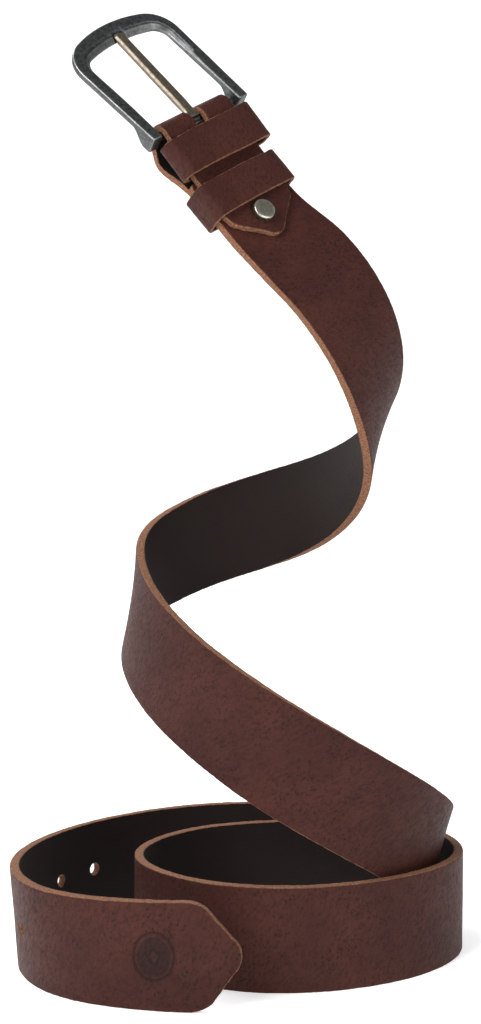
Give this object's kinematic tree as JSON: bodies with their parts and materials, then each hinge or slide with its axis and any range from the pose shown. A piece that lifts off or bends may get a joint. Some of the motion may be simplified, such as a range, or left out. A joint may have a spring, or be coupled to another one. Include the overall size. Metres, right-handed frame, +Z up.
{
  "type": "leather belt with prong buckle",
  "caption": "Dress belt of one thick leather strap with a riveted buckle tab, a horseshoe prong buckle and two sliding keeper loops, standing in a loose spiral.",
  "frame": {"origin": "on the floor, under the middle of the overall box of the standing spiral", "axes": "+Z up, +Y away from the viewer of the buckle's front, +X to that viewer's right"},
  "size_m": [0.1804, 0.1455, 0.3757],
  "materials": {
    "strap_leather": "satin full grain outside, dark fibrous flesh inside, raw tan edges",
    "tab_leather": "satin full grain, raw tan edges",
    "keeper_leather": "satin full grain, raw tan edges",
    "gunmetal": "dark blackened plating, worn bright along the edges",
    "old_silver": "antique silver plating, slightly warm",
    "rivet_metal": "satin nickel silver",
    "staple_wire": "satin wire"
  },
  "bodies": {
    "belt": {"strap": "strap_leather", "buckle_tab": "tab_leather", "rivet_cap": "rivet_metal", "rivet_post": "rivet_metal"},
    "buckle": {"buckle_frame": "gunmetal", "buckle_bar": "gunmetal"},
    "prong": {"buckle_prong": "old_silver"},
    "front_keeper": {"front_keeper": "keeper_leather", "front_keeper_staples": "staple_wire"},
    "rear_keeper": {"rear_keeper": "keeper_leather", "rear_keeper_staples": "staple_wire"}
  },
  "joints": [
    {"name": "buckle_swing", "type": "hinge", "parent": "belt", "child": "buckle", "pos_m": [-0.01844, -0.00357, 0.32939], "axis": [0.6769, 0.591, 0.4388], "range_deg": [-105, 25]},
    {"name": "prong_swing", "type": "hinge", "parent": "buckle", "child": "prong", "pos_m": [-0.01844, -0.00357, 0.32939], "axis": [0.6769, 0.591, 0.4388], "range_deg": [0, 60]},
    {"name": "front_keeper_slide", "type": "slide", "parent": "belt", "child": "front_keeper", "axis": [-0.6218, 0.1401, 0.7705], "range_m": [-0.0015, 0.0002]},
    {"name": "rear_keeper_slide", "type": "slide", "parent": "belt", "child": "rear_keeper", "axis": [-0.6218, 0.1401, 0.7705], "range_m": [-0.001, 0.002]}
  ]
}
